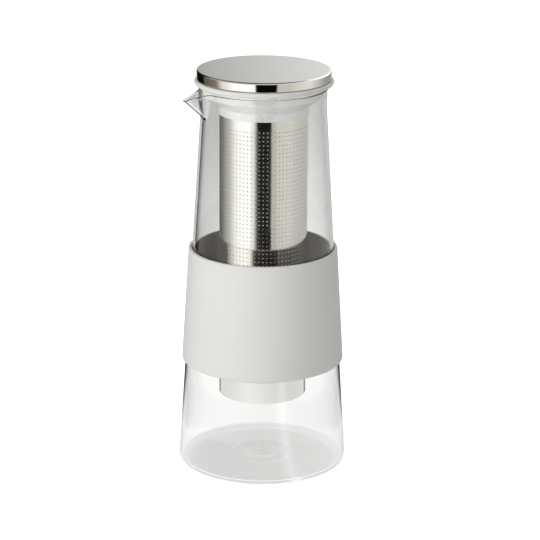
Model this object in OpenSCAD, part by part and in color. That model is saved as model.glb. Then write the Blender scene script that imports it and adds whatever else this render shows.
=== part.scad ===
// Iced tea carafe: a conical glass with a pouring lip, a silicone grip sleeve round its
// middle, a steel infuser hung from a silicone collar in the neck, and a lift-off plug lid.
// The origin is on the table at the centre of the base, and the pouring lip points to -X.

/* [Glass] */
// Height of the glass from the table to its rim
glass_h = 238.8; // [220:0.1:280]
// Outer diameter that the wall reaches at the table
base_d = 105.4; // [98:0.1:120]
// Outer diameter of the straight neck
neck_d = 77.2; // [72:0.1:84]
// Height of the straight neck
neck_h = 13.8; // [8:0.1:20]
// Thickness of the wall
wall_t = 1.9; // [1.5:0.1:2.6]
// Thickness of the floor at its rim
floor_t = 3.2; // [2.8:0.1:5]
// Radius of the corner between the wall and the table
foot_r = 2.4; // [1:0.1:4]
// Radius inside, between the wall and the floor
heel_r = 4; // [2:0.1:8]
// How far the polished bead on the rim stands out past the neck
bead_reach = 0.3; // [0.1:0.1:0.6]
// Diameter of the hollow under the base
punt_d = 80; // [40:0.1:88]
// Rise of the hollow under the base
punt_rise = 1.4; // [0.6:0.1:1.8]

/* [Pouring lip] */
// How far the lip reaches out past the neck
lip_reach = 12; // [8:0.1:15]
// How far the tip of the lip lies below the rim
lip_drop = 4.8; // [3:0.1:8]
// How far below the rim the lip starts to swell out of the neck
lip_depth = 17; // [14:0.1:20]
// Width of the lip where it leaves the rim
lip_w = 18.5; // [16:0.1:26]
// Radius of the rounded tip
lip_tip_r = 3; // [2.6:0.1:4]
// Thickness of the glass in the lip
lip_t = 1.6; // [1.2:0.1:2]

/* [Grip sleeve] */
// Height of the sleeve's lower edge above the table
sleeve_z = 65.9; // [50:0.1:90]
// Height of the sleeve
sleeve_h = 72.3; // [40:0.1:90]
// Thickness of the sleeve
sleeve_t = 2.2; // [1.6:0.1:4]
// Radius of the sleeve's outer edges
sleeve_edge_r = 0.9; // [0.4:0.1:1.4]

/* [Collar] */
// Thickness of the flange that lies on the rim
collar_flange_t = 1.3; // [1:0.1:2.5]
// Thickness of the collar's wall
collar_t = 1.6; // [1.2:0.1:2.2]
// Depth of the straight part in the neck
collar_plug_h = 4.5; // [3.5:0.1:7]
// Depth of the funnel below it
funnel_h = 6.6; // [5:0.1:9]
// Depth of the skirt round the tube
skirt_h = 4.7; // [3:0.1:8]
// Thickness of the skirt
skirt_t = 0.85; // [0.6:0.05:1.4]

/* [Infuser] */
// Outer diameter of the infuser tube
tube_d = 54.2; // [46:0.1:57]
// Length of the infuser tube
tube_l = 187.2; // [120:0.1:200]
// Thickness of the steel sheet
sheet_t = 0.5; // [0.4:0.1:0.8]
// How far the hoop's flange reaches past the tube
hoop_reach = 2.4; // [1.6:0.1:3]
// Height of the hoop inside the tube
hoop_h = 8; // [5:0.1:12]
// Height of the bottom's turned-up wall
bottom_h = 6; // [4:0.1:12]
// Radius of the bottom's corner
bottom_corner_r = 1.2; // [0.8:0.1:2.5]

/* [Lid] */
// How far the steel cap reaches past the neck
cap_reach = 2.6; // [1.5:0.1:5]
// Height of the steel cap
cap_h = 5.3; // [4.4:0.1:9]
// Thickness of the steel cap
cap_t = 0.8; // [0.6:0.1:1.2]
// Radius of the cap's upper edge
cap_edge_r = 0.8; // [0.4:0.1:1]
// How far the silicone flange reaches past the cap
flange_reach = 1; // [0.4:0.1:2.5]
// Thickness of the silicone flange
flange_t = 4; // [3.4:0.1:6]
// Radius under the flange
flange_low_r = 3; // [1.5:0.1:3.2]
// Radius of the flange's upper edge
flange_top_r = 0.9; // [0.4:0.1:1]
// Thickness of the seal's plug ring
seal_t = 1.3; // [1:0.1:2]
// How far each sealing fin stands out of the plug ring
fin_reach = 0.6; // [0.3:0.1:1]
// Height of each sealing fin
fin_h = 0.9; // [0.6:0.1:1.2]
// Thickness of the walls of the plastic core
core_t = 1.6; // [1.2:0.1:2]
// How far the core's lip reaches under the plug ring
core_lip_reach = 0.9; // [0.6:0.1:1.2]
// Height of the core's lip
core_lip_h = 0.8; // [0.6:0.1:1.2]
// Number of ribs in the core
core_ribs = 8; // [6:1:12]
// Diameter of the core's middle boss
core_boss_d = 9; // [6:0.1:14]

/* [Fits] */
// Gap round silicone pieces that come apart
soft_gap = 0.3; // [0.25:0.05:0.5]
// Gap between pieces that stay together
fit_gap = 0.05; // [0.03:0.01:0.1]
// Free height under the lid's plug
plug_room = 1; // [0.8:0.1:2]

/* [Hidden] */
$fn = 120;
corner_steps = 8;
lip_steps = 5;
lip_tip_angle = 55;
overrun = 1;

// Glass radii and heights
base_r = base_d / 2;
neck_r = neck_d / 2;
neck_in_r = neck_r - wall_t;
cone_top_z = glass_h - neck_h;
cone_lean = (base_r - neck_r) / cone_top_z;
cone_angle = atan(cone_lean);
wall_run = wall_t / cos(cone_angle);
bead_r = (wall_t + bead_reach) / 2;
punt_r = punt_d / 2;
punt_ball_r = (punt_r * punt_r + punt_rise * punt_rise) / (2 * punt_rise);
lip_tip_z = glass_h - lip_drop;
lip_start_z = glass_h - lip_depth;
lip_slope = atan((lip_depth - lip_drop) / lip_reach);

// Collar radii and heights, from the neck inwards and from the rim downwards
collar_z = glass_h + soft_gap;
collar_top_z = collar_z + collar_flange_t;
collar_plug_z = collar_z - collar_plug_h;
funnel_z = collar_plug_z - funnel_h;
skirt_z = funnel_z - skirt_h;
collar_plug_r = neck_in_r - soft_gap;
cup_r = collar_plug_r - collar_t;
tube_r = tube_d / 2;
tube_in_r = tube_r - sheet_t;
skirt_in_r = tube_r + fit_gap;
skirt_r = skirt_in_r + skirt_t;
funnel_rise = funnel_h / (collar_plug_r - skirt_r);
funnel_run = collar_t / cos(atan(funnel_rise));
function funnel_under_z(r) = funnel_z + funnel_rise * (r - skirt_r);
function funnel_top_z(r) = funnel_under_z(r) + funnel_run;

// Infuser heights, down from its seat in the collar
hoop_r = tube_r + hoop_reach;
seat_r = hoop_r + fit_gap;
seat_z = funnel_under_z(seat_r) + collar_t;
tube_z = seat_z - tube_l;

// Lid radii and heights, up from the collar
lid_z = collar_top_z + soft_gap;
cap_z = lid_z + flange_t;
lid_top_z = cap_z + cap_h;
cap_under_z = lid_top_z - cap_t;
cap_r = neck_r + cap_reach;
flange_r = cap_r + flange_reach;
plug_z = funnel_top_z(cup_r) + plug_room;
fin_r = cup_r - soft_gap;
seal_r = fin_r - fin_reach;
seal_in_r = seal_r - seal_t;
fin_pitch = (lid_z - plug_z) / 2;
core_r = cap_r - cap_t - fit_gap;
hub_r = seal_in_r - fit_gap;
hub_in_r = hub_r - core_t;
core_z = plug_z - core_lip_h;
core_floor_z = core_z + core_t;

// Points of an arc round [x, y], without its middle
function arc(x, y, r, from, to) =
    [for (i = [0:corner_steps]) let (a = from + (to - from) * i / corner_steps)
        [x + r * cos(a), y + r * sin(a)]];

// Points of an arc that fills the corner between a level line at z and the leaning wall,
// on the inside of a wall whose radius at the table is r, and above or below the line
function leaning_corner(r, z, corner_r, side) =
    let (mid_z = z + side * corner_r,
         mid_r = r - cone_lean * mid_z - corner_r / cos(cone_angle))
    side > 0
        ? arc(mid_r, mid_z, corner_r, -90, cone_angle)
        : arc(mid_r, mid_z, corner_r, cone_angle, 90);

function reversed(points) = [for (i = [len(points) - 1:-1:0]) points[i]];

// The hollow under the base, from the centre out
function punt_points() =
    let (half_angle = asin(punt_r / punt_ball_r))
    [for (i = [0:corner_steps]) let (a = half_angle * i / corner_steps)
        [punt_ball_r * sin(a), punt_rise - punt_ball_r * (1 - cos(a))]];

// Half section of the glass without its lip
function glass_section() = concat(
    punt_points(),
    leaning_corner(base_r, 0, foot_r, 1),
    [[neck_r, cone_top_z]],
    arc(neck_in_r + bead_r, glass_h - bead_r, bead_r, -acos((wall_t - bead_r) / bead_r), 180),
    [[neck_in_r, cone_top_z]],
    reversed(leaning_corner(base_r - wall_run, floor_t, heel_r, 1)),
    [[0, floor_t]]);

// Level outline of the lip at height z, from one root round the tip to the other, drawn in
// by inset all round for the channel inside
function lip_outline(z, inset) =
    let (climb = (z - lip_start_z - inset / cos(lip_slope)) / (lip_tip_z - lip_start_z),
         bulge = min(max(climb, 0), 1),
         spread = min(max(climb * (1 - lip_drop / lip_depth), 0), 1),
         tip_x = -(neck_r + lip_reach * bulge - lip_tip_r),
         root_x = -(neck_r - lip_tip_r),
         root_y = lip_tip_r + (lip_w / 2 - lip_tip_r) * spread - inset)
    concat([[root_x, root_y, z]],
           [for (p = arc(tip_x, 0, lip_tip_r - inset, 180 - lip_tip_angle, 180 + lip_tip_angle))
               [p[0], p[1], z]],
           [[root_x, -root_y, z]]);

// The lip as a stack of its outlines, closed at both ends
module lip_form(inset, top_z) {
    low_z = lip_start_z + inset / cos(lip_slope);
    levels = concat([for (i = [0:lip_steps]) low_z + (lip_tip_z - low_z) * i / lip_steps],
                    [glass_h + inset / cos(lip_slope), top_z]);
    outlines = [for (z = levels) lip_outline(z, inset)];
    count = len(outlines[0]);
    last = (len(levels) - 1) * count;
    polyhedron(
        points = [for (outline = outlines) each outline],
        faces = concat(
            [for (i = [1:count - 2]) [0, i, i + 1]],
            [for (i = [1:count - 2]) [last, last + i + 1, last + i]],
            [for (k = [0:len(levels) - 2], i = [0:count - 1])
                let (low = k * count, next = (i + 1) % count)
                each [[low + i, low + count + i, low + next],
                      [low + next, low + count + i, low + count + next]]]));
}

// Side outline that keeps what lies below the lip's sloping edge
module lip_edge() {
    tip_reach = neck_r + lip_reach;
    far_x = tip_reach + overrun;
    far_drop = lip_drop * (far_x - neck_r) / lip_reach;
    low_z = lip_start_z - lip_tip_r;
    rotate([90, 0, 0])
        linear_extrude(height = 2 * lip_w, center = true)
            polygon([[0, low_z], [0, glass_h], [-neck_r, glass_h],
                     [-far_x, glass_h - far_drop], [-far_x, low_z]]);
}

module glass_carafe() {
    color("aliceblue", 0.4)
        difference() {
            union() {
                rotate_extrude() polygon(glass_section());
                difference() {
                    intersection() {
                        lip_form(0, glass_h + overrun);
                        lip_edge();
                    }
                    translate([0, 0, cone_top_z - neck_h])
                        cylinder(r = neck_in_r + wall_t / 2, h = 3 * neck_h);
                }
            }
            lip_form(lip_t, glass_h + lip_depth);
        }
}

module grip_sleeve() {
    inner_r = base_r + soft_gap / cos(cone_angle);
    outer_r = inner_r + sleeve_t / cos(cone_angle);
    top_z = sleeve_z + sleeve_h;
    color("gainsboro")
        rotate_extrude()
            polygon(concat(
                [[inner_r - cone_lean * sleeve_z, sleeve_z]],
                leaning_corner(outer_r, sleeve_z, sleeve_edge_r, 1),
                leaning_corner(outer_r, top_z, sleeve_edge_r, -1),
                [[inner_r - cone_lean * top_z, top_z]]));
}

module filter_collar() {
    color("whitesmoke")
        rotate_extrude()
            polygon([
                [skirt_in_r, skirt_z], [skirt_r, skirt_z], [skirt_r, funnel_z],
                [collar_plug_r, collar_plug_z], [collar_plug_r, collar_z],
                [neck_r, collar_z], [neck_r, collar_top_z], [cup_r, collar_top_z],
                [cup_r, funnel_top_z(cup_r)], [seat_r, funnel_top_z(seat_r)],
                [seat_r, seat_z], [skirt_in_r, seat_z]]);
}

module filter_hoop() {
    outer_r = tube_in_r - fit_gap;
    inner_r = outer_r - sheet_t;
    color("silver")
        rotate_extrude()
            polygon([[inner_r, seat_z - hoop_h], [outer_r, seat_z - hoop_h], [outer_r, seat_z],
                     [hoop_r, seat_z], [hoop_r, seat_z + sheet_t], [inner_r, seat_z + sheet_t]]);
}

module filter_tube() {
    color("silver")
        translate([0, 0, tube_z])
            difference() {
                cylinder(r = tube_r, h = tube_l);
                translate([0, 0, -overrun]) cylinder(r = tube_in_r, h = tube_l + 2 * overrun);
            }
}

module filter_bottom() {
    outer_r = tube_in_r - fit_gap;
    inner_r = outer_r - sheet_t;
    corner_in_r = max(bottom_corner_r - sheet_t, fit_gap);
    floor_z = tube_z + sheet_t;
    color("silver")
        rotate_extrude()
            polygon(concat(
                [[0, tube_z]],
                arc(outer_r - bottom_corner_r, tube_z + bottom_corner_r, bottom_corner_r, -90, 0),
                [[outer_r, tube_z + bottom_h], [inner_r, tube_z + bottom_h]],
                arc(inner_r - corner_in_r, floor_z + corner_in_r, corner_in_r, 0, -90),
                [[0, floor_z]]));
}

module lid_seal() {
    fins = [for (i = [0, 1]) each [
        [fin_r, plug_z + i * fin_pitch], [fin_r, plug_z + i * fin_pitch + fin_h],
        [seal_r, plug_z + i * fin_pitch + fin_h], [seal_r, plug_z + (i + 1) * fin_pitch]]];
    color("whitesmoke")
        rotate_extrude()
            polygon(concat(
                [[seal_in_r, plug_z]],
                fins,
                arc(flange_r - flange_low_r, lid_z + flange_low_r, flange_low_r, -90, 0),
                arc(flange_r - flange_top_r, cap_z - flange_top_r, flange_top_r, 0, 90),
                [[seal_in_r, cap_z]]));
}

module lid_core() {
    lip_r = hub_r + core_lip_reach;
    shelf_z = cap_z + core_t;
    rib_h = cap_under_z - core_floor_z;
    boss_r = core_boss_d / 2;
    ring_r = hub_in_r / 2;
    color("gainsboro") {
        rotate_extrude()
            polygon([
                [0, core_z], [lip_r, core_z], [lip_r, plug_z], [hub_r, plug_z], [hub_r, cap_z],
                [core_r, cap_z], [core_r, cap_under_z], [core_r - core_t, cap_under_z],
                [core_r - core_t, shelf_z], [hub_r, shelf_z], [hub_r, cap_under_z],
                [hub_in_r, cap_under_z], [hub_in_r, core_floor_z], [0, core_floor_z]]);
        translate([0, 0, core_z]) cylinder(r = boss_r, h = cap_under_z - core_z);
        translate([0, 0, core_floor_z - core_t / 2])
            difference() {
                cylinder(r = ring_r + core_t / 2, h = rib_h + core_t / 2);
                translate([0, 0, -overrun])
                    cylinder(r = ring_r - core_t / 2, h = rib_h + core_t / 2 + 2 * overrun);
            }
        for (i = [0:core_ribs - 1])
            rotate([0, 0, 360 * i / core_ribs])
                translate([boss_r / 2, -core_t / 2, core_floor_z - core_t / 2])
                    cube([hub_r - core_t / 2 - boss_r / 2, core_t, rib_h + core_t / 2]);
    }
}

module lid_cap() {
    color("silver")
        rotate_extrude()
            polygon(concat(
                [[cap_r - cap_t, cap_z], [cap_r, cap_z]],
                arc(cap_r - cap_edge_r, lid_top_z - cap_edge_r, cap_edge_r, 0, 90),
                [[0, lid_top_z], [0, cap_under_z], [cap_r - cap_t, cap_under_z]]));
}

glass_carafe();
grip_sleeve();
filter_collar();
filter_hoop();
filter_tube();
filter_bottom();
lid_seal();
lid_core();
lid_cap();
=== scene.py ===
import bpy
import bmesh
import math
from mathutils import Matrix, Vector


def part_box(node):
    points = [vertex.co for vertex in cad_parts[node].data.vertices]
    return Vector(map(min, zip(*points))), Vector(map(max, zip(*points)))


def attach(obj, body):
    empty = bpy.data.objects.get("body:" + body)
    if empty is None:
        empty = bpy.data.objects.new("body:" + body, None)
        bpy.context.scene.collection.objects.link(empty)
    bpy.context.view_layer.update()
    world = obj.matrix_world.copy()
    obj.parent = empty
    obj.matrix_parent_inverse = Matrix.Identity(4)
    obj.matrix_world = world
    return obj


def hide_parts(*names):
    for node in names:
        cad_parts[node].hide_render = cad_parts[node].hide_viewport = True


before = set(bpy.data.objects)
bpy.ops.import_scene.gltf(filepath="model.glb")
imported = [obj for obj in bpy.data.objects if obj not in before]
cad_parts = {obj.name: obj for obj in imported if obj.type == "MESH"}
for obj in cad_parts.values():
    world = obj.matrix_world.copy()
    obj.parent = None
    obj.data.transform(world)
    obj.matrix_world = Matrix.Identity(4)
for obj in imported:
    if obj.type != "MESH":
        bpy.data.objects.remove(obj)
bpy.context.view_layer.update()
box = {name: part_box(name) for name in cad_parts}
print("frame loaded:", len(box), "nodes")

mm = 0.001
scene = bpy.context.scene
scene.view_settings.view_transform = "Standard"


def hexColour(code):
    channels = [int(code[i:i + 2], 16) / 255 for i in (0, 2, 4)]
    linear = [c / 12.92 if c <= 0.04045 else ((c + 0.055) / 1.055) ** 2.4 for c in channels]
    return (*linear, 1.0)


def addNode(tree, kind, inputs=None, **settings):
    node = tree.nodes.new(kind)
    for key, value in settings.items():
        setattr(node, key, value)
    for key, value in (inputs or {}).items():
        if isinstance(value, bpy.types.NodeSocket):
            tree.links.new(value, node.inputs[key])
        else:
            node.inputs[key].default_value = value
    return node


def newMaterial(name):
    material = bpy.data.materials.new(name)
    material.use_nodes = True
    material.node_tree.nodes.clear()
    return material, material.node_tree


# camera, fitted to the round edges of the lid, the sleeve and the base
camera = {
    # mm, before the turn: a little right of the axis, above the lid
    "place": (4.4, -1293.75, 527.75),
    "turn": -20,  # degrees about the carafe's axis, towards the pouring lip
    "pitch": 17.4,  # degrees below level
    "roll": 0.4,  # degrees, the picture's right side hangs a little low
    "focalPixels": 2177,  # focal length in pixels of the picture
    "pictureWidth": 540,
    "sensor": 36,  # mm
}
studioTurn = Matrix.Rotation(math.radians(camera["turn"]), 4, "Z")
cameraData = bpy.data.cameras.new("camera")
cameraData.sensor_width = camera["sensor"]
cameraData.lens = camera["focalPixels"] / camera["pictureWidth"] * camera["sensor"]
cameraObject = bpy.data.objects.new("camera", cameraData)
scene.collection.objects.link(cameraObject)
cameraObject.matrix_world = (
    studioTurn
    @ Matrix.Translation(Vector(camera["place"]) * mm)
    @ Matrix.Rotation(math.radians(90 - camera["pitch"]), 4, "X")
    @ Matrix.Rotation(math.radians(camera["roll"]), 4, "Z")
)
scene.camera = cameraObject
print("camera placed")


# materials of the carafe

caughtLight = {
    # painted light: a ray caught inside the wall gets a painted glow, pale in the foot, and painted
    # shade, dark in the rim, for the light that is led on inside the wall
    "footTone": "dcdddc", "footTop": 16, "footFade": 10,  # mm
    "rimTone": "727270", "rimLow": 225, "rimFade": 8,  # mm
    # a ray counts as caught after this many reflections, and between foot and rim after more
    "reflections": 2.5, "moreBetween": 4.0,
}


def borosilicateGlass():
    # blown borosilicate: clear, with a faint ripple from the mould that bends what lies behind it
    material, tree = newMaterial("borosilicate glass, blown, fire-polished")
    place = addNode(tree, "ShaderNodeTexCoord").outputs["Object"]
    ripple = addNode(tree, "ShaderNodeTexNoise", {
        "Vector": place, "Scale": 1 / (22 * mm), "Detail": 1.0})
    bump = addNode(tree, "ShaderNodeBump", {
        "Height": ripple.outputs["Fac"], "Strength": 0.25, "Distance": 0.12 * mm})
    shader = addNode(tree, "ShaderNodeBsdfPrincipled", {
        "Base Color": hexColour("fcfdfc"), "Roughness": 0.0, "IOR": 1.474,
        "Transmission Weight": 1.0, "Normal": bump.outputs[0]})
    path = addNode(tree, "ShaderNodeLightPath")
    parts = addNode(tree, "ShaderNodeSeparateXYZ", {0: place})
    heights = []
    for low, fade in (("footTop", "footFade"), ("rimLow", "rimFade")):
        heights.append(addNode(tree, "ShaderNodeMapRange", {
            "Value": parts.outputs["Z"], "From Min": caughtLight[low] * mm,
            "From Max": (caughtLight[low] + caughtLight[fade]) * mm}).outputs[0])
    aboveFoot, inRim = heights
    between = addNode(tree, "ShaderNodeMath", {0: aboveFoot, 1: inRim}, operation="SUBTRACT")
    limit = addNode(tree, "ShaderNodeMath", {
        0: between.outputs[0], 1: caughtLight["moreBetween"], 2: caughtLight["reflections"]},
        operation="MULTIPLY_ADD")
    trapped = addNode(tree, "ShaderNodeMath", {
        0: path.outputs["Glossy Depth"], 1: limit.outputs[0]}, operation="GREATER_THAN")
    # painted tone for caught rays: a painted glow in the foot, painted shade in the rim
    paintedCaughtTone = addNode(tree, "ShaderNodeMix", {
        "Factor": inRim, 6: hexColour(caughtLight["footTone"]),
        7: hexColour(caughtLight["rimTone"])}, data_type="RGBA")
    led = addNode(tree, "ShaderNodeEmission", {"Color": paintedCaughtTone.outputs[2], "Strength": 1.0})
    settled = addNode(tree, "ShaderNodeMixShader", {
        0: trapped.outputs[0], 1: shader.outputs[0], 2: led.outputs[0]})
    clear = addNode(tree, "ShaderNodeBsdfTransparent", {"Color": hexColour("fbfbfb")})
    mixed = addNode(tree, "ShaderNodeMixShader", {
        0: path.outputs["Is Shadow Ray"], 1: settled.outputs[0], 2: clear.outputs[0]})
    addNode(tree, "ShaderNodeOutputMaterial", {"Surface": mixed.outputs[0]})
    return material


def mattSilicone(name, first, second):
    # compression-moulded silicone from a fine-blasted mould: matt, with a trace of sheen
    material, tree = newMaterial(name)
    place = addNode(tree, "ShaderNodeTexCoord").outputs["Object"]
    grain = addNode(tree, "ShaderNodeTexNoise", {
        "Vector": place, "Scale": 1 / (0.9 * mm), "Detail": 3.0})
    cloud = addNode(tree, "ShaderNodeTexNoise", {
        "Vector": place, "Scale": 1 / (30 * mm), "Detail": 2.0})
    tone = addNode(tree, "ShaderNodeMix", {
        "Factor": cloud.outputs["Fac"], 6: hexColour(first), 7: hexColour(second)},
        data_type="RGBA")
    bump = addNode(tree, "ShaderNodeBump", {
        "Height": grain.outputs["Fac"], "Strength": 0.3, "Distance": 0.05 * mm})
    shader = addNode(tree, "ShaderNodeBsdfPrincipled", {
        "Base Color": tone.outputs[2], "Roughness": 0.62, "IOR": 1.41, "Sheen Weight": 0.08,
        "Sheen Roughness": 0.5, "Normal": bump.outputs[0]})
    addNode(tree, "ShaderNodeOutputMaterial", {"Surface": shader.outputs[0]})
    return material


def milkySilicone(name, colour, soak, roughest, bend, gloss):
    # unpigmented silicone: milky and smooth, light soaks into it, with a soft gloss
    material, tree = newMaterial(name)
    place = addNode(tree, "ShaderNodeTexCoord").outputs["Object"]
    cloud = addNode(tree, "ShaderNodeTexNoise", {
        "Vector": place, "Scale": 1 / (25 * mm), "Detail": 1.0})
    roughness = addNode(tree, "ShaderNodeMapRange", {
        "Value": cloud.outputs["Fac"], "To Min": roughest - 0.06, "To Max": roughest})
    grain = addNode(tree, "ShaderNodeTexNoise", {
        "Vector": place, "Scale": 1 / (1.5 * mm), "Detail": 1.0})
    bump = addNode(tree, "ShaderNodeBump", {
        "Height": grain.outputs["Fac"], "Strength": 0.1, "Distance": 0.02 * mm})
    shader = addNode(tree, "ShaderNodeBsdfPrincipled", {
        "Base Color": hexColour(colour), "Roughness": roughness.outputs[0], "IOR": bend,
        "Specular IOR Level": gloss, "Subsurface Weight": soak,
        "Subsurface Radius": (1.0, 0.97, 0.9), "Subsurface Scale": 2 * mm,
        "Normal": bump.outputs[0]})
    addNode(tree, "ShaderNodeOutputMaterial", {"Surface": shader.outputs[0]})
    return material


def mirrorSteel(name, smooth, hazy):
    # 18/10 stainless sheet, mirror-polished: clear reflections with a slight buffing haze
    material, tree = newMaterial(name)
    place = addNode(tree, "ShaderNodeTexCoord").outputs["Object"]
    haze = addNode(tree, "ShaderNodeTexNoise", {
        "Vector": place, "Scale": 1 / (14 * mm), "Detail": 2.0})
    roughness = addNode(tree, "ShaderNodeMapRange", {
        "Value": haze.outputs["Fac"], "To Min": smooth, "To Max": hazy})
    shader = addNode(tree, "ShaderNodeBsdfPrincipled", {
        "Base Color": hexColour("e0dedb"), "Metallic": 1.0, "Roughness": roughness.outputs[0]})
    addNode(tree, "ShaderNodeOutputMaterial", {"Surface": shader.outputs[0]})
    return material


def satinSteel():
    # 18/10 stainless sheet, satin-brushed: soft, broad reflections drawn out along the grain
    material, tree = newMaterial("stainless steel, satin-brushed")
    place = addNode(tree, "ShaderNodeTexCoord").outputs["Object"]
    along = addNode(tree, "ShaderNodeMapping", {"Vector": place, "Scale": (1.0, 40.0, 1.0)})
    # real brushing lines are 0.05 mm apart, drawn at 0.5 mm so that a trace of them shows
    lines = addNode(tree, "ShaderNodeTexNoise", {
        "Vector": along.outputs[0], "Scale": 1 / (20 * mm), "Detail": 3.0})
    roughness = addNode(tree, "ShaderNodeMapRange", {
        "Value": lines.outputs["Fac"], "To Min": 0.3, "To Max": 0.36})
    bump = addNode(tree, "ShaderNodeBump", {
        "Height": lines.outputs["Fac"], "Strength": 0.1, "Distance": 0.02 * mm})
    shader = addNode(tree, "ShaderNodeBsdfPrincipled", {
        "Base Color": hexColour("dcdbd9"), "Metallic": 1.0, "Roughness": roughness.outputs[0],
        "Normal": bump.outputs[0]})
    addNode(tree, "ShaderNodeOutputMaterial", {"Surface": shader.outputs[0]})
    return material


def drawnSteel():
    # the inner side of the perforated sheet: dull and pale, scatters what the holes let in
    material, tree = newMaterial("stainless steel, dull inner side, painted glow")
    place = addNode(tree, "ShaderNodeTexCoord").outputs["Object"]
    cloud = addNode(tree, "ShaderNodeTexNoise", {
        "Vector": place, "Scale": 1 / (6 * mm), "Detail": 2.0})
    tone = addNode(tree, "ShaderNodeMix", {
        "Factor": cloud.outputs["Fac"], 6: hexColour("b5b2ad"), 7: hexColour("c2bfba")},
        data_type="RGBA")
    # painted glow: it stands for the light that thousands of finer holes let through
    shader = addNode(tree, "ShaderNodeBsdfPrincipled", {
        "Base Color": tone.outputs[2], "Metallic": 0.3, "Roughness": 0.7,
        "Emission Color": hexColour("f2efea"), "Emission Strength": 0.22})
    addNode(tree, "ShaderNodeOutputMaterial", {"Surface": shader.outputs[0]})
    return material


def mouldedPolypropylene():
    # injection-moulded polypropylene: waxy off-white with a soft gloss
    material, tree = newMaterial("polypropylene, injection-moulded")
    place = addNode(tree, "ShaderNodeTexCoord").outputs["Object"]
    grain = addNode(tree, "ShaderNodeTexNoise", {
        "Vector": place, "Scale": 1 / (1.2 * mm), "Detail": 2.0})
    roughness = addNode(tree, "ShaderNodeMapRange", {
        "Value": grain.outputs["Fac"], "To Min": 0.38, "To Max": 0.48})
    bump = addNode(tree, "ShaderNodeBump", {
        "Height": grain.outputs["Fac"], "Strength": 0.2, "Distance": 0.03 * mm})
    shader = addNode(tree, "ShaderNodeBsdfPrincipled", {
        "Base Color": hexColour("dededa"), "Roughness": roughness.outputs[0], "IOR": 1.49,
        "Subsurface Weight": 0.2, "Subsurface Scale": 1 * mm, "Normal": bump.outputs[0]})
    addNode(tree, "ShaderNodeOutputMaterial", {"Surface": shader.outputs[0]})
    return material


glassFinish = borosilicateGlass()
sleeveFinish = mattSilicone("silicone, moulded matt, warm light grey", "d8d8d5", "dbdbd8")
# painted shade: the inner side is coloured a dark brown for the shade inside the sleeve, seen only
# through the glass, where that shade looks brown
sleeveInsidePaintedShade = mattSilicone("silicone, inner side against the glass, painted brown shade", "7c6e63", "827468")
milkyFinish = milkySilicone("silicone, unpigmented, milky", "d8d9d4", 0.5, 0.56, 1.41, 0.3)
# painted light: the collar is the same silicone as the lid's seal, given a paler colour for the
# light it gets too little of inside the glass; it is also glossier
collarPaintedPaleFinish = milkySilicone(
    "silicone, unpigmented, glossier, painted paler in the neck", "ececea", 0.1, 0.3, 1.85, 1.0)
mirrorFinish = mirrorSteel("stainless steel, mirror-polished", 0.05, 0.08)
sheetFinish = mirrorSteel("stainless steel, polished sheet, perforated", 0.1, 0.13)
satinFinish = satinSteel()
innerGlowFinish = drawnSteel()
coreFinish = mouldedPolypropylene()
print("materials made")


# shared ways of making a turned piece

def turnProfile(corners, steps, closed=True):
    # corners are (radius, height, rounding) in mm, in order round the section
    bm = bmesh.new()
    verts = [bm.verts.new((radius * mm, 0, height * mm)) for radius, height, rounding in corners]
    for first, second in zip(verts, verts[1:]):
        bm.edges.new((first, second))
    if closed:
        bm.edges.new((verts[-1], verts[0]))
    for vert, (radius, height, rounding) in zip(verts, corners):
        if rounding:
            bmesh.ops.bevel(
                bm, geom=[vert], offset=rounding * mm, offset_type="OFFSET", segments=6,
                profile=0.5, affect="VERTICES", material=-1)
    bmesh.ops.spin(
        bm, geom=bm.verts[:] + bm.edges[:], cent=(0, 0, 0), axis=(0, 0, 1), dvec=(0, 0, 0),
        angle=2 * math.pi, steps=steps, use_merge=True, use_duplicate=False)
    bmesh.ops.remove_doubles(bm, verts=bm.verts, dist=0.001 * mm)
    bmesh.ops.recalc_face_normals(bm, faces=bm.faces)
    return bm


def facesAxis(face):
    return face.normal.dot(face.calc_center_median() * Vector((1, 1, 0))) < 0


def linkMesh(name, bm, materials=()):
    mesh = bpy.data.meshes.new(name)
    bm.to_mesh(mesh)
    bm.free()
    piece = bpy.data.objects.new(name, mesh)
    scene.collection.objects.link(piece)
    for material in materials:
        mesh.materials.append(material)
    return piece


def finishPiece(name, bm, materials, body, nodes, sharpAngle=40):
    piece = linkMesh(name, bm, materials)
    piece.data.shade_smooth()
    piece.data.set_sharp_from_angle(angle=math.radians(sharpAngle))
    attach(piece, body)
    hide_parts(*nodes)
    return piece


# glass
glass = {
    "footRadius": 52.5, "neckRadius": 38.6, "neckStart": 225.0, "rim": 238.8,
    "wall": 1.9, "wallAtFloor": 1.6, "floor": 1.6,
    "footRounding": 2.6, "heelRounding": 1.0,
    "puntRadius": 40.0, "puntRise": 0.8,
    "beadReach": 0.3, "beadHeight": 2.2, "beadRounding": 0.5, "rimRounding": 1.0,
    # low rings that the mould leaves in the hollow: radius and rise
    "swells": ((7.5, 0.25), (16.5, 0.22)), "swellHalfWidth": 3.0, "swellRounding": 1.2,
    "steps": 480,
}
lip = {
    "reach": 12.6, "drop": 4.7, "start": 221.6,
    "rootHalfWidth": 8.2, "lowHalfWidth": 4.4, "tipRounding": 2.6, "softness": 0.42,
    "rings": 20, "firstRing": 1,  # mm below the start
}


lean = (glass["footRadius"] - glass["neckRadius"]) / glass["neckStart"]


def insideRadius(height):
    return glass["footRadius"] - glass["wallAtFloor"] - lean * height


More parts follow.
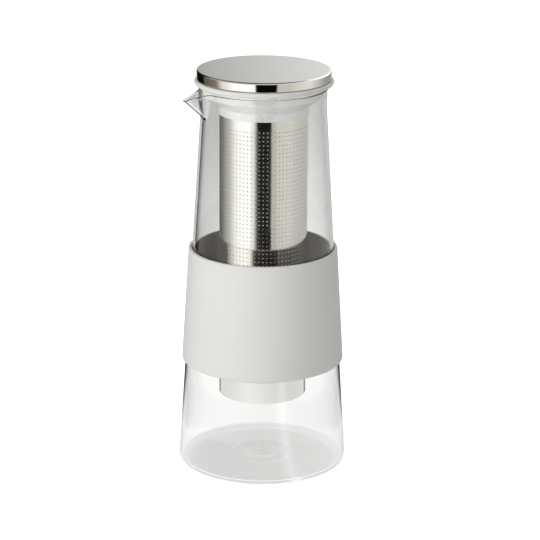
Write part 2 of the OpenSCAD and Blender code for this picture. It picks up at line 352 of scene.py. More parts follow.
neckInside = glass["neckRadius"] - glass["wall"]
glassCorners = [(0, glass["puntRise"], 0)]
for radius, rise in glass["swells"]:
    for step, height in ((-1, 0), (0, rise), (1, 0)):
        place = radius + step * glass["swellHalfWidth"]
        level = glass["puntRise"] * (1 - place / glass["puntRadius"])
        glassCorners.append((place, level + height, glass["swellRounding"]))
glassCorners += [
    (glass["puntRadius"], 0, 0),
    (glass["footRadius"], 0, glass["footRounding"]),
    (glass["neckRadius"], glass["neckStart"], 0),
    (glass["neckRadius"], glass["rim"] - glass["beadHeight"], 0),
    (glass["neckRadius"] + glass["beadReach"], glass["rim"] - glass["beadHeight"] / 2,
        glass["beadRounding"]),
    (glass["neckRadius"] + glass["beadReach"], glass["rim"], glass["rimRounding"]),
    (neckInside, glass["rim"], glass["rimRounding"]),
    (neckInside, glass["neckStart"], 0),
    (insideRadius(glass["floor"]), glass["floor"], glass["heelRounding"]),
    (0, glass["floor"], 0),
]
bm = turnProfile(glassCorners, glass["steps"], closed=False)
# level cuts give the neck enough rings for the lip to bend
for i in range(lip["rings"]):
    height = (
        lip["start"] - lip["firstRing"] + (glass["rim"] - lip["start"]) * i / lip["rings"])
    bmesh.ops.bisect_plane(
        bm, geom=bm.verts[:] + bm.edges[:] + bm.faces[:], plane_co=(0, 0, height * mm),
        plane_no=(0, 0, 1), clear_inner=False, clear_outer=False)
# the lip is drawn out of the soft neck towards -X, and its edge sinks as it goes out
for vert in bm.verts:
    rise = (vert.co.z / mm - lip["start"]) / (glass["rim"] - lip["start"])
    if rise <= 0 or vert.co.x >= 0:
        continue
    rise = min(rise, 1.0)
    halfWidth = lip["lowHalfWidth"] + (lip["rootHalfWidth"] - lip["lowHalfWidth"]) * rise
    across = math.hypot(vert.co.y / mm, lip["tipRounding"]) - lip["tipRounding"]
    share = 1 - across / (halfWidth - lip["tipRounding"])
    # fades softly where the lip meets the neck
    pull = 0.5 * (share + math.hypot(share, lip["softness"]))
    vert.co.x -= lip["reach"] * rise * pull * mm
    vert.co.z -= lip["drop"] * rise * pull * mm
glassPiece = finishPiece(
    "carafeGlass", bm, [glassFinish], "carafe", ["glass_carafe"], sharpAngle=60)
print("glass blown:", len(glassPiece.data.polygons), "faces")


# grip sleeve
sleeve = {
    "low": box["grip_sleeve"][0].z / mm, "high": box["grip_sleeve"][1].z / mm,
    "wall": 1.85, "gap": 0.3, "edgeRounding": 0.9, "innerRounding": 0.3,
    "steps": 180,
}


def sleeveCorner(height, depth, rounding):
    return (glass["footRadius"] + sleeve["gap"] + depth - lean * height, height, rounding)


bm = turnProfile([
    sleeveCorner(sleeve["low"], 0, sleeve["innerRounding"]),
    sleeveCorner(sleeve["low"], sleeve["wall"], sleeve["edgeRounding"]),
    sleeveCorner(sleeve["high"], sleeve["wall"], sleeve["edgeRounding"]),
    sleeveCorner(sleeve["high"], 0, sleeve["innerRounding"]),
], sleeve["steps"])
# faces towards the axis get the inner side's painted brown shade
for face in bm.faces:
    face.material_index = 1 if facesAxis(face) and abs(face.normal.z) < 0.5 else 0
finishPiece(
    "gripSleeve", bm, [sleeveFinish, sleeveInsidePaintedShade], "sleeve",
    ["grip_sleeve"])
print("sleeve moulded")


# silicone collar in the neck
collar = {
    "top": box["filter_collar"][1].z / mm, "skirtLow": box["filter_collar"][0].z / mm,
    "flange": 1.3, "flangeRadius": 38.6, "plugRadius": 36.4, "cupRadius": 34.8,
    "plugLow": 234.6, "funnelLow": 228.0, "skirtRadius": 28.0, "skirtInside": 27.15,
    "seatRadius": 29.55, "seat": 230.818, "funnelWall": 2.035, "funnelRise": 0.7857,
    "softRounding": 0.4, "innerRounding": 0.2, "outerRounding": 0.3, "bendRounding": 0.8,
    "cupRounding": 0.6, "steps": 160,
}


def funnelTop(radius):
    climb = collar["funnelRise"] * (radius - collar["skirtRadius"])
    return collar["funnelLow"] + climb + collar["funnelWall"]


bm = turnProfile([
    (collar["skirtInside"], collar["skirtLow"], collar["innerRounding"]),
    (collar["skirtRadius"], collar["skirtLow"], collar["outerRounding"]),
    (collar["skirtRadius"], collar["funnelLow"], collar["bendRounding"]),
    (collar["plugRadius"], collar["plugLow"], collar["bendRounding"]),
    (collar["plugRadius"], collar["top"] - collar["flange"], collar["innerRounding"]),
    (collar["flangeRadius"], collar["top"] - collar["flange"], collar["softRounding"]),
    (collar["flangeRadius"], collar["top"], collar["softRounding"]),
    (collar["cupRadius"], collar["top"], collar["softRounding"]),
    (collar["cupRadius"], funnelTop(collar["cupRadius"]), collar["cupRounding"]),
    (collar["seatRadius"], funnelTop(collar["seatRadius"]), collar["outerRounding"]),
    (collar["seatRadius"], collar["seat"], 0),
    (collar["skirtInside"], collar["seat"], 0),
], collar["steps"])
finishPiece("neckCollar", bm, [collarPaintedPaleFinish], "infuser", ["filter_collar"])
print("collar moulded")


# perforated infuser tube
tube = {
    "radius": 27.1, "low": box["filter_tube"][0].z / mm, "high": box["filter_tube"][1].z / mm,
    "sheet": 0.5, "holesLow": 56.0, "holesHigh": 217.8,
    # the real holes are about 0.3 mm wide and 0.62 mm apart, too fine to show,
    # so they are drawn in the coarser grid that the eye sees in the photograph
    "columns": 70, "rows": 62, "holeRadius": 0.42, "holeSides": 8,
    "merge": 0.01,
}
columnWidth = 2 * math.pi * tube["radius"] / tube["columns"]
rowHeight = (tube["holesHigh"] - tube["holesLow"]) / tube["rows"]
bm = bmesh.new()
# one cell: a square of the sheet round its hole, drawn flat, with x round the tube and y up
grid = bmesh.ops.create_grid(bm, x_segments=2, y_segments=2, size=0.5)["verts"]
bmesh.ops.delete(bm, geom=[v for v in grid if v.co.length < 0.1], context="VERTS")
bmesh.ops.scale(bm, vec=(columnWidth * mm, rowHeight * mm, 1), verts=bm.verts[:])
outline = bm.edges[:]
hole = bmesh.ops.create_circle(
    bm, cap_ends=False, radius=tube["holeRadius"] * mm, segments=tube["holeSides"])["verts"]
rim = list({edge for vert in hole for edge in vert.link_edges})
bmesh.ops.bridge_loops(bm, edges=outline + rim)
cell = bm.verts[:] + bm.edges[:] + bm.faces[:]
for row in range(1, tube["rows"]):
    copied = bmesh.ops.duplicate(bm, geom=cell)["geom"]
    bmesh.ops.translate(
        bm, vec=(0, row * rowHeight * mm, 0),
        verts=[g for g in copied if isinstance(g, bmesh.types.BMVert)])
bmesh.ops.remove_doubles(bm, verts=bm.verts, dist=tube["merge"] * mm)
bmesh.ops.rotate(
    bm, cent=(0, 0, 0), matrix=Matrix.Rotation(math.radians(90), 3, "X"), verts=bm.verts[:])
bmesh.ops.translate(bm, vec=(0, 0, (tube["holesLow"] + rowHeight / 2) * mm), verts=bm.verts[:])
# plain bands above and below the holes
for edgeHeight, bandHeight in (
        (tube["holesHigh"], tube["high"]), (tube["holesLow"], tube["low"])):
    ends = [
        e for e in bm.edges
        if all(abs(v.co.z - edgeHeight * mm) < tube["merge"] * mm for v in e.verts)]
    band = bmesh.ops.extrude_edge_only(bm, edges=ends)["geom"]
    bmesh.ops.translate(
        bm, vec=(0, 0, (bandHeight - edgeHeight) * mm),
        verts=[g for g in band if isinstance(g, bmesh.types.BMVert)])
# the strip is rolled to the tube's curve, then repeated round the axis
for vert in bm.verts:
    turn = vert.co.x / (tube["radius"] * mm)
    vert.co.x = tube["radius"] * mm * math.sin(turn)
    vert.co.y = -tube["radius"] * mm * math.cos(turn)
bmesh.ops.rotate(bm, cent=(0, 0, 0), matrix=studioTurn.to_3x3(), verts=bm.verts[:])
bmesh.ops.spin(
    bm, geom=bm.verts[:] + bm.edges[:] + bm.faces[:], cent=(0, 0, 0), axis=(0, 0, 1),
    dvec=(0, 0, 0), angle=2 * math.pi * (tube["columns"] - 1) / tube["columns"],
    steps=tube["columns"] - 1, use_merge=False, use_duplicate=True)
bmesh.ops.remove_doubles(bm, verts=bm.verts, dist=tube["merge"] * mm)
bmesh.ops.recalc_face_normals(bm, faces=bm.faces)
bmesh.ops.solidify(bm, geom=bm.faces[:], thickness=tube["sheet"] * mm)
for face in bm.faces:
    reach = (face.calc_center_median() * Vector((1, 1, 0))).length
    isInside = facesAxis(face) and reach < (tube["radius"] - tube["sheet"] / 2) * mm
    face.material_index = 1 if isInside else 0
    if not face.material_index and face.calc_center_median().z > tube["holesHigh"] * mm:
        face.material_index = 2  # the plain band above the holes is a clear mirror
tubePiece = finishPiece(
    "infuserTube", bm, [sheetFinish, innerGlowFinish, mirrorFinish], "infuser",
    ["filter_tube"], sharpAngle=50)
print("tube perforated:", len(tubePiece.data.polygons), "faces")


# hoop that hangs the tube in the collar, and the pressed bottom
hoop = {
    "outside": 26.55, "inside": 26.05, "flangeRadius": 29.5, "sheet": 0.5, "rounding": 0.15,
    "innerRounding": 0.4, "steps": 140,
}
hoopLow = box["filter_hoop"][0].z / mm
hoopTop = box["filter_hoop"][1].z / mm
bm = turnProfile([
    (hoop["inside"], hoopLow, hoop["rounding"]),
    (hoop["outside"], hoopLow, hoop["rounding"]),
    (hoop["outside"], hoopTop - hoop["sheet"], 0),
    (hoop["flangeRadius"], hoopTop - hoop["sheet"], hoop["rounding"]),
    (hoop["flangeRadius"], hoopTop, hoop["rounding"]),
    (hoop["inside"], hoopTop, hoop["innerRounding"]),
], hoop["steps"])
finishPiece("infuserHoop", bm, [mirrorFinish], "infuser", ["filter_hoop"])

bottom = {
    "outside": 26.55, "inside": 26.05, "sheet": 0.5, "cornerRounding": 1.2, "insideRounding": 0.7,
    "edgeRounding": 0.1, "steps": 140,
}
bottomLow = box["filter_bottom"][0].z / mm
bottomHigh = box["filter_bottom"][1].z / mm
bm = turnProfile([
    (0, bottomLow, 0),
    (bottom["outside"], bottomLow, bottom["cornerRounding"]),
    (bottom["outside"], bottomHigh, bottom["edgeRounding"]),
    (bottom["inside"], bottomHigh, bottom["edgeRounding"]),
    (bottom["inside"], bottomLow + bottom["sheet"], bottom["insideRounding"]),
    (0, bottomLow + bottom["sheet"], 0),
], bottom["steps"], closed=False)
finishPiece("infuserBottom", bm, [mirrorFinish], "infuser", ["filter_bottom"])
print("hoop and bottom pressed")


# lid: silicone seal, steel cap, plastic core
# mm that the flange's top and the cap's edge lie lower than in the solids: a fine gap shows
lidGap = {"flangeDrop": 0.8, "capDrop": 0.5}
seal = {
    "flangeRadius": 42.4, "flangeLow": 241.0,
    "flangeTop": box["lid_seal"][1].z / mm - lidGap["flangeDrop"],
    "lowRounding": 1.2, "topRounding": 0.9, "inside": 32.6, "plugRadius": 33.9, "finRadius": 34.5,
    "finHeight": 0.9, "finRounding": 0.3, "insideRounding": 0.2,
    "plugLow": box["lid_seal"][0].z / mm, "steps": 180,
}
finPitch = (seal["flangeLow"] - seal["plugLow"]) / 2
sealCorners = [(seal["inside"], seal["plugLow"], seal["insideRounding"])]
for i in range(2):
    finLow = seal["plugLow"] + i * finPitch
    sealCorners += [
        (seal["finRadius"], finLow, seal["finRounding"]),
        (seal["finRadius"], finLow + seal["finHeight"], seal["finRounding"]),
        (seal["plugRadius"], finLow + seal["finHeight"], 0),
        (seal["plugRadius"], finLow + finPitch, 0)]
sealCorners += [
    (seal["flangeRadius"], seal["flangeLow"], seal["lowRounding"]),
    (seal["flangeRadius"], seal["flangeTop"], seal["topRounding"]),
    (seal["inside"], seal["flangeTop"], 0)]
bm = turnProfile(sealCorners, seal["steps"])
finishPiece("lidSeal", bm, [milkyFinish], "lid", ["lid_seal"])

cap = {
    "radius": 41.1, "low": box["lid_cap"][0].z / mm - lidGap["capDrop"],
    "high": box["lid_cap"][1].z / mm,
    "sheet": 0.8, "edgeRounding": 1.1, "footRounding": 0.35, "insideRounding": 0.2,
    "rim": 3, "steps": 240,
}
bm = turnProfile([
    (0, cap["high"] - cap["sheet"], 0),
    (cap["radius"] - cap["sheet"], cap["high"] - cap["sheet"], cap["insideRounding"]),
    (cap["radius"] - cap["sheet"], cap["low"], cap["footRounding"]),
    (cap["radius"], cap["low"], cap["footRounding"]),
    (cap["radius"], cap["high"], cap["edgeRounding"]),
    (cap["radius"] - cap["rim"], cap["high"], 0),
    (0, cap["high"], 0),
], cap["steps"], closed=False)
# the top is satin-brushed, the side and the edge stay polished
for face in bm.faces:
    isTop = face.normal.z > 0.98 and face.calc_center_median().z > (cap["high"] - 0.1) * mm
    face.material_index = 1 if isTop else 0
finishPiece("lidCap", bm, [mirrorFinish, satinFinish], "lid", ["lid_cap"])
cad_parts["lid_core"].data.materials.clear()
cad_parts["lid_core"].data.materials.append(coreFinish)
print("lid made")


# studio: pale floor, white world, soft lamps, and a ring of cards that only gloss shows
floor = {
    # underGlass is that darker copy of the paper colour: painted shade that only the glass shows
    "halfWidth": 6000, "drop": 0.1, "colour": "e8e8e8", "underGlass": "9e9e9e",
    # brightness added for the camera, by the distance from the axis in mm: white further out
    "seenStops": [(0, 0.55), (60, 0.6), (110, 0.78), (300, 0.9), (1000, 1.0)],
    # brightness that glass shows of it, with painted shade: a painted shadow where the carafe
    # stands, and painted grey shade further back
    "throughStops": [
        (0, 0.69), (42, 0.69), (48, 0.81), (120, 0.81), (260, 0.83), (420, 0.72), (500, 0.64),
        (600, 0.57), (800, 0.46), (1000, 0.38)],
    # centre of the painted shadow, moved a little to the front
    "paintedShadowCentre": (0, -6),
    # painted light: the glass is a little lighter on the right than on the left, but not in its
    # foot, from light painted into the floor that it shows
    "sideLift": 0.055, "sideReach": 60, "sideStart": 80, "sideFull": 300,
    "reach": 1000,  # mm, where the stops end
    # a painted contact shadow: the thin dark line where the foot meets the floor
    "contactNear": 50.8, "contactFar": 51.9, "contactDark": 0.5,
    "bounce": 0.22,  # brightness that lights what faces down, as a wide white table does
    # a white reflector on the table, in front to the left, lights the collar through the glass
    "reflector": 1.0, "reflectorSide": (-0.8, -0.6, 0), "reflectorFrom": -150, "reflectorTo": 170,
    # brightness that gloss shows of it: bright all round, dark straight behind, with places in
    # degrees from the front
    "glossFront": 1.0, "glossBack": 0.08, "backStart": 130, "backEnd": 146,
    # a brighter spot in front to the left, in mm
    "glossSpot": (-100, -160), "spotReach": 220, "spotLift": 0.3,
    # the outer side of the glass shows only a share of it, with one soft streak
    "outerShare": 0.55, "streakPlace": 26, "streakHalfWidth": 9, "streakLift": 2.4,
}


def placeInStudio(tree):
    # the studio stands turned with the photographer's place: x to the right, y away, and the
    # azimuth from the front, negative to the left
    place = addNode(tree, "ShaderNodeTexCoord").outputs["Object"]
    turned = addNode(tree, "ShaderNodeMapping", {
        "Vector": place, "Rotation": (0, 0, math.radians(-camera["turn"]))}).outputs[0]
    parts = addNode(tree, "ShaderNodeSeparateXYZ", {0: turned}).outputs
    ahead = addNode(tree, "ShaderNodeMath", {0: parts["Y"], 1: -1.0}, operation="MULTIPLY")
    azimuth = addNode(tree, "ShaderNodeMath", {
        0: parts["X"], 1: ahead.outputs[0]}, operation="ARCTAN2").outputs[0]
    return turned, parts, azimuth


def fillStops(stops, places):
    # a colour ramp goes once round the studio; places are (degrees from the front, colour)
    for i, (angle, colour) in enumerate(places):
        stop = stops[0]
        if i == len(places) - 1:
            stop = stops[-1]
        elif i:
            stop = stops.new((angle + 180) / 360)
        stop.position = (angle + 180) / 360
        stop.color = colour


bm = bmesh.new()
bmesh.ops.create_grid(bm, x_segments=1, y_segments=1, size=floor["halfWidth"] * mm)
bmesh.ops.translate(bm, vec=(0, 0, -floor["drop"] * mm), verts=bm.verts[:])
floorPiece = linkMesh("floor", bm)
material, tree = newMaterial("floor, pale paper")
path = addNode(tree, "ShaderNodeLightPath")
turned, parts, azimuth = placeInStudio(tree)
away = addNode(tree, "ShaderNodeVectorMath", {0: turned}, operation="LENGTH").outputs["Value"]
paintedShadowCentre = (floor["paintedShadowCentre"][0] * mm, floor["paintedShadowCentre"][1] * mm, 0)
aback = addNode(tree, "ShaderNodeVectorMath", {
    0: turned, 1: paintedShadowCentre}, operation="DISTANCE").outputs["Value"]
tones = []
for distance, stops in ((away, floor["seenStops"]), (aback, floor["throughStops"])):
    share = addNode(tree, "ShaderNodeMapRange", {
        "Value": distance, "From Max": floor["reach"] * mm})
    # a curve holds values from 0 to 1, so they are stored half-way up and moved back down
    tone = addNode(tree, "ShaderNodeFloatCurve", {"Value": share.outputs[0]})
    curve = tone.mapping.curves[0]
    for stopPlace, value in stops[1:-1]:
        curve.points.new(stopPlace / floor["reach"], 0.5 + value / 2)
    curve.points[0].location = (0, 0.5 + stops[0][1] / 2)
    curve.points[len(curve.points) - 1].location = (1, 0.5 + stops[-1][1] / 2)
    tone.mapping.update()
    tones.append(addNode(tree, "ShaderNodeMapRange", {
        "Value": tone.outputs[0], "From Min": 0.5, "From Max": 1.0}, clamp=False).outputs[0])
seenTone, throughTone = tones
# what the camera sees, and what lights the carafe
paper = addNode(tree, "ShaderNodeBsdfDiffuse", {"Color": hexColour(floor["colour"])})
# painted contact shadow: a thin dark ring painted round the foot
paintedContactShadow = addNode(tree, "ShaderNodeMapRange", {
    "Value": away, "From Min": floor["contactNear"] * mm, "From Max": floor["contactFar"] * mm,
    "To Min": 1 - floor["contactDark"], "To Max": 1.0})
white = addNode(tree, "ShaderNodeMath", {
    0: seenTone, 1: paintedContactShadow.outputs[0]}, operation="MULTIPLY")
lefter = addNode(tree, "ShaderNodeVectorMath", {
    0: turned, 1: floor["reflectorSide"]}, operation="DOT_PRODUCT")
reflector = addNode(tree, "ShaderNodeMapRange", {
    "Value": lefter.outputs["Value"], "From Min": floor["reflectorFrom"] * mm,
    "From Max": floor["reflectorTo"] * mm, "To Max": floor["reflector"]})
entered = addNode(tree, "ShaderNodeMath", {
    0: path.outputs["Transmission Depth"], 1: 0.5}, operation="GREATER_THAN")
upward = addNode(tree, "ShaderNodeMath", {
    0: reflector.outputs[0], 1: entered.outputs[0], 2: floor["bounce"]}, operation="MULTIPLY_ADD")
seen = addNode(tree, "ShaderNodeMix", {
    "Factor": path.outputs["Is Camera Ray"], 2: upward.outputs[0], 3: white.outputs[0]})
seenGlow = addNode(tree, "ShaderNodeEmission", {"Strength": seen.outputs[0]})
seenSum = addNode(tree, "ShaderNodeAddShader", {0: paper.outputs[0], 1: seenGlow.outputs[0]})
# what glass shows: a darker copy of the paper, painted shade, lit by the lamps, with the painted
# shadow and shade of the stops
# painted light: the floor that glass shows is lighter to the right
tilt = addNode(tree, "ShaderNodeMapRange", {
    "Value": parts["X"], "From Min": -floor["sideReach"] * mm,
    "From Max": floor["sideReach"] * mm, "To Min": -floor["sideLift"], "To Max": floor["sideLift"]})
farther = addNode(tree, "ShaderNodeMapRange", {
    "Value": aback, "From Min": floor["sideStart"] * mm, "From Max": floor["sideFull"] * mm})
tilted = addNode(tree, "ShaderNodeMath", {
    0: tilt.outputs[0], 1: farther.outputs[0]}, operation="MULTIPLY")
through = addNode(tree, "ShaderNodeMath", {
    0: throughTone, 1: tilted.outputs[0]}, operation="ADD")
throughGlow = addNode(tree, "ShaderNodeEmission", {"Strength": through.outputs[0]})
paintedShadePaper = addNode(tree, "ShaderNodeBsdfDiffuse", {"Color": hexColour(floor["underGlass"])})
throughSum = addNode(tree, "ShaderNodeAddShader", {
    0: paintedShadePaper.outputs[0], 1: throughGlow.outputs[0]})
# what gloss shows
angle = addNode(tree, "ShaderNodeMath", {0: azimuth}, operation="ABSOLUTE")
behind = addNode(tree, "ShaderNodeMapRange", {
    "Value": angle.outputs[0], "From Min": math.radians(floor["backStart"]),
    "From Max": math.radians(floor["backEnd"]),
    "To Min": floor["glossFront"], "To Max": floor["glossBack"]})
spotCentre = (floor["glossSpot"][0] * mm, floor["glossSpot"][1] * mm, 0)
spot = addNode(tree, "ShaderNodeVectorMath", {0: turned, 1: spotCentre}, operation="DISTANCE")
spotTone = addNode(tree, "ShaderNodeMapRange", {
    "Value": spot.outputs["Value"], "From Max": floor["spotReach"] * mm,
    "To Min": floor["spotLift"], "To Max": 0.0})
gloss = addNode(tree, "ShaderNodeMath", {
    0: behind.outputs[0], 1: spotTone.outputs[0]}, operation="ADD")
# the outer side of the glass shows less of it, with one soft streak
off = addNode(tree, "ShaderNodeMath", {
    0: azimuth, 1: math.radians(floor["streakPlace"])}, operation="SUBTRACT")
offSize = addNode(tree, "ShaderNodeMath", {0: off.outputs[0]}, operation="ABSOLUTE")
streak = addNode(tree, "ShaderNodeMapRange", {
    "Value": offSize.outputs[0], "From Max": math.radians(floor["streakHalfWidth"]),
    "To Min": floor["streakLift"], "To Max": 0.0})
outer = addNode(tree, "ShaderNodeMath", {
    0: gloss.outputs[0], 1: floor["outerShare"], 2: streak.outputs[0]}, operation="MULTIPLY_ADD")
glossTone = addNode(tree, "ShaderNodeMix", {
    "Factor": entered.outputs[0], 2: outer.outputs[0], 3: gloss.outputs[0]})
glossGlow = addNode(tree, "ShaderNodeEmission", {"Strength": glossTone.outputs[0]})
# light that a matt surface gathers through the glass is the same as outside it
looking = addNode(tree, "ShaderNodeMath", {
    0: path.outputs["Diffuse Depth"], 1: 0.5}, operation="LESS_THAN")
glassView = addNode(tree, "ShaderNodeMath", {
    0: path.outputs["Is Transmission Ray"], 1: looking.outputs[0]}, operation="MULTIPLY")
throughMix = addNode(tree, "ShaderNodeMixShader", {
    0: glassView.outputs[0], 1: seenSum.outputs[0], 2: throughSum.outputs[0]})
# a ray through glass counts as glossy too, so reflections are told by their number
mirrored = addNode(tree, "ShaderNodeMath", {
    0: path.outputs["Glossy Depth"], 1: 0.5}, operation="GREATER_THAN")
glossMix = addNode(tree, "ShaderNodeMixShader", {
    0: mirrored.outputs[0], 1: throughMix.outputs[0], 2: glossGlow.outputs[0]})
addNode(tree, "ShaderNodeOutputMaterial", {"Surface": glossMix.outputs[0]})
floorPiece.data.materials.append(material)

# cards round the carafe: degrees from the front, negative to the left, and their brightness
cards = {
    "radius": 350, "height": 650, "steps": 96, "strength": 2.0,
    # what shows in the side of the lid and in the outer side of the glass
    "outerStops": [
        (-180, "acacaa"), (-158, "9c9c9a"), (-152, "060505"), (-119.5, "080706"), (-114, "4d463f"),
        (-92, "5c5850"), (-83, "67625a"), (-71, "b7b3ae"), (-62, "c4c1be"), (-48, "d8d7d5"),
        (-14.3, "d8d8d6"), (-12.3, "040404"), (20.5, "040404"), (22, "a4a19b"), (40, "a29f98"),
        (62, "b3b0aa"), (79, "b8b5b1"), (105, "969591"), (122, "7c7b78"), (143, "767674"),
        (165, "929290"), (180, "acacaa")],
    # what shows in the top of the lid: the upper part of the cards
    "upperStops": [
        (-180, "acacaa"), (-162, "707070"), (-150, "101010"), (-115, "101010"), (-105, "848484"),
        (60, "b4b4b2"), (130, "dadad8"), (160, "d2d2d0"), (180, "acacaa")],
    "upperStart": 240, "upperEnd": 280,
    # what shows in the wall of the glass itself
    "wallStops": [
        (-180, "c0c0be"), (-145.5, "b4b4b2"), (-143, "020202"), (-129, "020202"), (-124, "a0a09e"),
        (-20, "a8a8a6"), (-13, "0a0a0a"), (19, "0a0a0a"), (24, "a8a8a6"), (100, "a8a8a6"),
        (150, "9c9c9a"), (180, "b4b4b2")],
    # what shows in the infuser, behind the glass, evened out by the fine holes
    "innerStops": [
        (-180, "565250"), (-156, "302e2d"), (-130, "464342"), (-118, "6e6b69"), (-92, "a1a09f"),
        (-78, "cccccb"), (-62, "e0dfde"), (-36, "e0e0df"), (-26, "c4c4c2"), (-18, "8a8a8a"),
        (-14.5, "0a0a0a"), (18, "0a0a0a"), (20, "9a9793"), (30, "a9a6a1"), (55, "afada9"),
        (70, "b1afab"), (97, "a0a09d"), (139, "989896"), (165, "949492"), (180, "565250")],
}
bm = bmesh.new()
bmesh.ops.create_circle(
    bm, cap_ends=False, radius=cards["radius"] * mm, segments=cards["steps"])
walls = bmesh.ops.extrude_edge_only(bm, edges=bm.edges[:])["geom"]
bmesh.ops.translate(
    bm, vec=(0, 0, cards["height"] * mm),
    verts=[g for g in walls if isinstance(g, bmesh.types.BMVert)])
ringPiece = linkMesh("studioCards", bm)
ringPiece.visible_camera = False
ringPiece.visible_diffuse = False
ringPiece.visible_shadow = False
ringPiece.visible_volume_scatter = False
material, tree = newMaterial("studio cards")
path = addNode(tree, "ShaderNodeLightPath")
parts, azimuth = placeInStudio(tree)[1:]
share = addNode(tree, "ShaderNodeMapRange", {
    "Value": azimuth, "From Min": -math.pi, "From Max": math.pi})
ramps = []
for stopList in ("outerStops", "innerStops", "wallStops", "upperStops"):
    ramp = addNode(tree, "ShaderNodeValToRGB", {"Fac": share.outputs[0]})
    fillStops(
        ramp.color_ramp.elements,
        [(angle, hexColour(colour)) for angle, colour in cards[stopList]])
    ramps.append(ramp.outputs["Color"])
outerTone, innerTone, wallTone, upperTone = ramps
# a ray from the infuser has passed the glass twice on its way in and twice on its way out
entered = addNode(tree, "ShaderNodeMath", {
    0: path.outputs["Transmission Depth"], 1: 0.5}, operation="GREATER_THAN")
inner = addNode(tree, "ShaderNodeMath", {
    0: path.outputs["Transmission Depth"], 1: 3.5}, operation="GREATER_THAN")
upper = addNode(tree, "ShaderNodeMapRange", {
    "Value": parts["Z"], "From Min": cards["upperStart"] * mm,
    "From Max": cards["upperEnd"] * mm})
plain = addNode(tree, "ShaderNodeMix", {
    "Factor": upper.outputs[0], 6: outerTone, 7: upperTone}, data_type="RGBA")
outside = addNode(tree, "ShaderNodeMix", {
    "Factor": entered.outputs[0], 6: plain.outputs[2], 7: wallTone}, data_type="RGBA")
tone = addNode(tree, "ShaderNodeMix", {
    "Factor": inner.outputs[0], 6: outside.outputs[2], 7: innerTone}, data_type="RGBA")
glow = addNode(tree, "ShaderNodeEmission", {
    "Color": tone.outputs[2], "Strength": cards["strength"]})
clear = addNode(tree, "ShaderNodeBsdfTransparent")
mirrored = addNode(tree, "ShaderNodeMath", {
    0: path.outputs["Glossy Depth"], 1: 0.5}, operation="GREATER_THAN")
mixed = addNode(tree, "ShaderNodeMixShader", {
    0: mirrored.outputs[0], 1: clear.outputs[0], 2: glow.outputs[0]})
addNode(tree, "ShaderNodeOutputMaterial", {"Surface": mixed.outputs[0]})
ringPiece.data.materials.append(material)

# the lamp at the left soaks through the sleeve, and the infuser shows that as a bright patch
soaked = {
    "gap": 0.15,  # mm, outside the glass and inside the sleeve
    # degrees from the front, and how far the light hides the sleeve's own inner side there
    "stops": [(-80, 0.0), (-62, 0.6), (-52, 0.95), (-28, 1.0), (-22, 0.7), (-17, 0.0)],
    "colour": "f4f0ec", "strength": 1.55,
    "steps": 96,
}
bm = turnProfile([
    (glass["footRadius"] + soaked["gap"] - lean * height, height, 0)
    for height in (sleeve["low"], sleeve["high"])], soaked["steps"], closed=False)
soakedPiece = linkMesh("soakedLight", bm)
soakedPiece.visible_camera = False
soakedPiece.visible_diffuse = False
soakedPiece.visible_shadow = False
material, tree = newMaterial("light soaked through the sleeve")
path = addNode(tree, "ShaderNodeLightPath")
azimuth = placeInStudio(tree)[2]
share = addNode(tree, "ShaderNodeMapRange", {
    "Value": azimuth, "From Min": -math.pi, "From Max": math.pi})
ramp = addNode(tree, "ShaderNodeValToRGB", {"Fac": share.outputs[0]})
fillStops(
    ramp.color_ramp.elements,
    [(angle, (cover, cover, cover, 1)) for angle, cover in soaked["stops"]])
inner = addNode(tree, "ShaderNodeMath", {
    0: path.outputs["Transmission Depth"], 1: 3.5}, operation="GREATER_THAN")
mirrored = addNode(tree, "ShaderNodeMath", {
    0: path.outputs["Glossy Depth"], 1: 0.5}, operation="GREATER_THAN")
shown = addNode(tree, "ShaderNodeMath", {
    0: inner.outputs[0], 1: mirrored.outputs[0]}, operation="MULTIPLY")
cover = addNode(tree, "ShaderNodeMath", {
    0: shown.outputs[0], 1: ramp.outputs["Color"]}, operation="MULTIPLY")
glow = addNode(tree, "ShaderNodeEmission", {
    "Color": hexColour(soaked["colour"]), "Strength": soaked["strength"]})
clear = addNode(tree, "ShaderNodeBsdfTransparent")
mixed = addNode(tree, "ShaderNodeMixShader", {
    0: cover.outputs[0], 1: clear.outputs[0], 2: glow.outputs[0]})
addNode(tree, "ShaderNodeOutputMaterial", {"Surface": mixed.outputs[0]})
soakedPiece.data.materials.append(material)

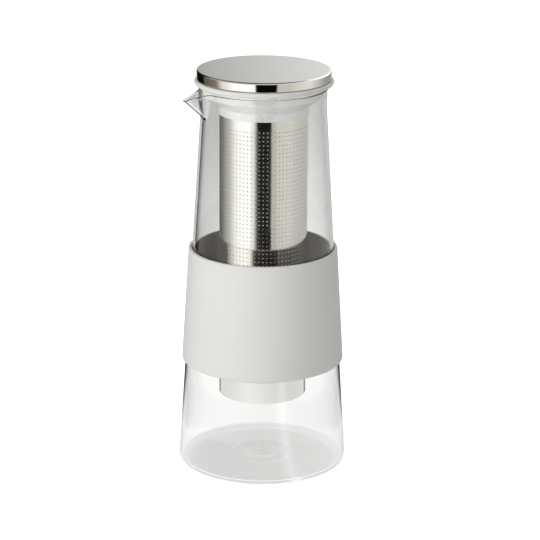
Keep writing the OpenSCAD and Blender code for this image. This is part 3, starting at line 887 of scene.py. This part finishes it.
# the world: white behind the carafe, dark overhead in the polish, grey through the glass
sky = {
    "ambient": 0.08, "through": 0.7,
    "glossLow": 1.0, "glossHigh": 0.06, "lowRise": 0.45, "highRise": 0.75,
}
world = bpy.data.worlds.new("studio")
scene.world = world
world.use_nodes = True
tree = world.node_tree
tree.nodes.clear()
path = addNode(tree, "ShaderNodeLightPath")
direction = addNode(tree, "ShaderNodeTexCoord").outputs["Generated"]
parts = addNode(tree, "ShaderNodeSeparateXYZ", {0: direction})
polish = addNode(tree, "ShaderNodeMapRange", {
    "Value": parts.outputs["Z"], "From Min": sky["lowRise"], "From Max": sky["highRise"],
    "To Min": sky["glossLow"], "To Max": sky["glossHigh"]})
seen = addNode(tree, "ShaderNodeMapRange", {
    "Value": path.outputs["Is Camera Ray"], "To Min": sky["ambient"], "To Max": 1.0})
# what lights a matt surface through the glass is the same plain light as outside it
looking = addNode(tree, "ShaderNodeMath", {
    0: path.outputs["Diffuse Depth"], 1: 0.5}, operation="LESS_THAN")
polished = addNode(tree, "ShaderNodeMath", {
    0: path.outputs["Is Glossy Ray"], 1: looking.outputs[0]}, operation="MULTIPLY")
glossy = addNode(tree, "ShaderNodeMix", {
    "Factor": polished.outputs[0], 2: seen.outputs[0], 3: polish.outputs[0]})
glassed = addNode(tree, "ShaderNodeMath", {
    0: path.outputs["Is Transmission Ray"], 1: looking.outputs[0]}, operation="MULTIPLY")
through = addNode(tree, "ShaderNodeMix", {
    "Factor": glassed.outputs[0], 2: glossy.outputs[0], 3: sky["through"]})
background = addNode(tree, "ShaderNodeBackground", {
    "Color": (1, 1, 1, 1), "Strength": through.outputs[0]})
addNode(tree, "ShaderNodeOutputWorld", {"Surface": background.outputs[0]})

lamps = {
    # place in mm before the studio's turn, width in mm, watts
    "keyLeft": {"place": (-1350, -1150, 750), "width": 1300, "watts": 18.5},
    "front": {"place": (-400, -1700, 950), "width": 1200, "watts": 10.5},
    "top": {"place": (100, 200, 2000), "width": 1600, "watts": 14},
    "behindRight": {"place": (1300, 450, 700), "width": 500, "watts": 3},
}
lampAim = Vector((0, 0, 120)) * mm
for name, lamp in lamps.items():
    light = bpy.data.lights.new(name, "AREA")
    light.shape = "SQUARE"
    light.size = lamp["width"] * mm
    light.energy = lamp["watts"]
    lampObject = bpy.data.objects.new(name, light)
    scene.collection.objects.link(lampObject)
    lampObject.location = studioTurn @ (Vector(lamp["place"]) * mm)
    aim = lampAim - lampObject.location
    lampObject.rotation_euler = aim.to_track_quat("-Z", "Y").to_euler()
    lampObject.visible_glossy = False
    lampObject.visible_transmission = False
print("studio lit")
